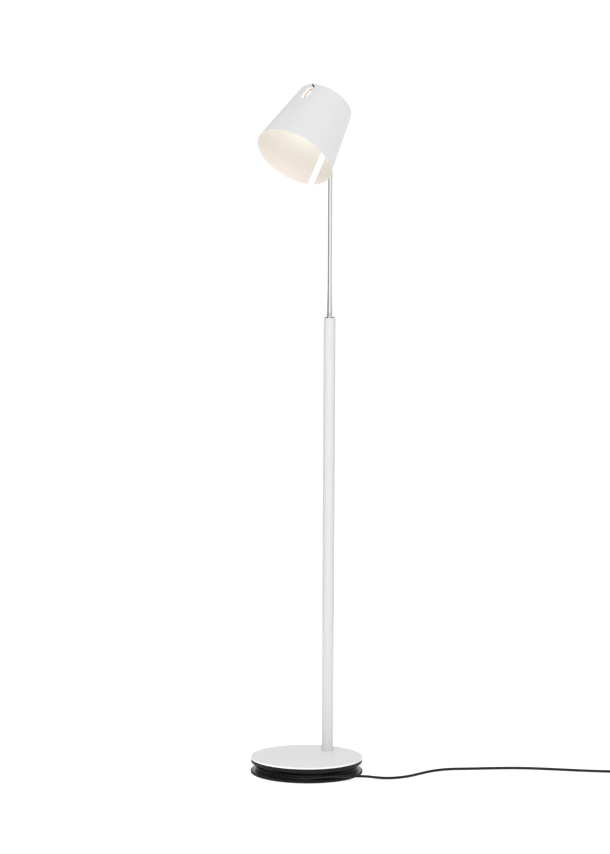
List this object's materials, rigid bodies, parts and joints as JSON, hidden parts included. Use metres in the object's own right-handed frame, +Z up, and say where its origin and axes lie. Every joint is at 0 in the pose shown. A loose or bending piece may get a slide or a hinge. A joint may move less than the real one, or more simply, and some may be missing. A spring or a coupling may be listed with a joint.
{
  "type": "floor lamp",
  "caption": "Floor lamp: round cord-reel base, off-centre telescopic pole and rod, conical metal shade with a back slot that tilts on the rod's end.",
  "frame": {"origin": "centre of the round base on the floor", "axes": "+Z up, the pole stands towards +Y, the shade faces -Y"},
  "size_m": [0.8105, 0.5626, 1.4185],
  "materials": {
    "black_rubber": "matt",
    "plated_steel": "satin",
    "black_plastic": "satin",
    "cast_iron": "rough",
    "white_paint": "satin",
    "zinc": "satin",
    "black_cord": "satin",
    "white_plastic": "matt",
    "satin_chrome": "satin",
    "nylon": "matt",
    "shade_paint": "satin",
    "cast_aluminium": "matt",
    "board_white": "gloss",
    "phosphor": "matt",
    "opal": "satin",
    "black_strap": "matt",
    "plug_black": "satin",
    "plug_nickel": "bright"
  },
  "bodies": {
    "stand": {"foot_rim": "black_rubber", "lower_plate": "plated_steel", "cord_spool": "black_plastic", "base_weight": "cast_iron", "top_plate": "white_paint", "base_screws": "zinc", "pole_nipple": "zinc", "nipple_nut": "zinc", "nipple_washer": "zinc", "cord_grommet": "black_rubber", "base_lead": "black_cord", "driver_case": "white_plastic", "driver_lead": "black_cord", "pole_foot_plug": "zinc", "pole_tube": "white_paint", "pole_top_bush": "black_plastic", "rod_collar": "satin_chrome", "pole_coil_lead": "black_cord", "cord_winding": "black_cord", "cord_lead": "black_cord", "cord_coil": "black_cord", "cord_tail": "black_cord", "cord_tie": "black_strap", "plug_boot": "plug_black", "plug_body": "plug_black", "plug_pins": "plug_nickel"},
    "slider": {"rod_guide": "nylon", "guide_friction_ring": "black_rubber"},
    "mast": {"inner_rod": "satin_chrome", "rod_stop_rings": "zinc", "rod_lead": "black_cord", "rod_knuckle": "satin_chrome"},
    "head": {"shade": "shade_paint", "shade_cap": "white_paint", "head_bracket": "satin_chrome", "bracket_screws": "satin_chrome", "pivot_screw": "satin_chrome", "pivot_nut": "satin_chrome", "friction_washers": "nylon", "heat_sink": "cast_aluminium", "heat_sink_screws": "satin_chrome", "led_board": "board_white", "led_emitter": "phosphor", "diffuser": "opal", "lens_ring": "white_plastic", "switch_block": "white_plastic"},
    "button": {"switch_pin": "black_plastic"}
  },
  "joints": [
    {"name": "height_slide", "type": "slide", "parent": "stand", "child": "slider", "axis": [0, 0, 1], "range_m": [-0.23, 0.1], "deforming": ["pole_coil_lead"]},
    {"name": "rod_swivel", "type": "hinge", "parent": "slider", "child": "mast", "pos_m": [0, 0.072, 0.719], "axis": [0, 0, 1], "range_deg": [-175, 175]},
    {"name": "shade_tilt", "type": "hinge", "parent": "mast", "child": "head", "pos_m": [0, 0.072, 1.3355], "axis": [-1, 0, 0], "range_deg": [-46, 44]},
    {"name": "switch_press", "type": "slide", "parent": "head", "child": "button", "axis": [0, 0.6947, -0.7193], "range_m": [0, 0.0015], "stiffness_N_per_m": 400, "springref_m": -0.002}
  ]
}
